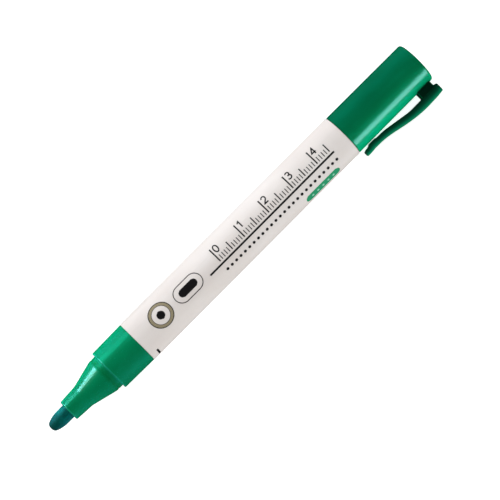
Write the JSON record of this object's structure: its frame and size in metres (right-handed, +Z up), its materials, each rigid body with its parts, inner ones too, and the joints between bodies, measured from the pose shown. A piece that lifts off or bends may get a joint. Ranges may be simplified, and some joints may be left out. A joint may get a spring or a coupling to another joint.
{
  "type": "whiteboard marker",
  "caption": "Bullet-tip whiteboard marker, white barrel, green nozzle, and a green cap with a pocket clip posted on its tail.",
  "frame": {"origin": "on the marker's axis, at the middle of the white barrel's length", "axes": "+X along the axis from the nib towards the cap, +Z up with the marker lying on its barrel and clip, -Y the side that the clip is on"},
  "size_m": [0.1517, 0.0185, 0.0142],
  "materials": {
    "white_polypropylene": "satin moulded, printed",
    "green_polypropylene": "satin moulded",
    "nib_fibre": "bonded acrylic fibre soaked in green ink",
    "reservoir_fibre": "polyester fibre soaked in green ink",
    "clear_film": "clear film",
    "natural_polyethylene": "uncoloured, slightly waxy"
  },
  "bodies": {
    "barrel": {"barrel": "white_polypropylene", "front_section": "green_polypropylene", "ink_reservoir": "reservoir_fibre", "reservoir_film": "clear_film", "end_plug": "green_polypropylene"},
    "nib": {"nib": "nib_fibre"},
    "cap": {"cap": "green_polypropylene", "inner_cap": "natural_polyethylene"},
    "clip": {"pocket_clip": "green_polypropylene"}
  },
  "joints": [
    {"name": "cap_pull", "type": "slide", "parent": "barrel", "child": "cap", "axis": [1, 0, 0], "range_m": [0, 0.012]},
    {"name": "clip_flex", "type": "hinge", "parent": "cap", "child": "clip", "pos_m": [0.06935, -0.00577, -0.00276], "axis": [0, -0.4311, 0.9023], "range_deg": [0, 6], "stiffness_Nm_per_rad": 0.8},
    {"name": "nib_pull", "type": "slide", "parent": "barrel", "child": "nib", "axis": [-1, 0, 0], "range_m": [0, 0.032]}
  ]
}
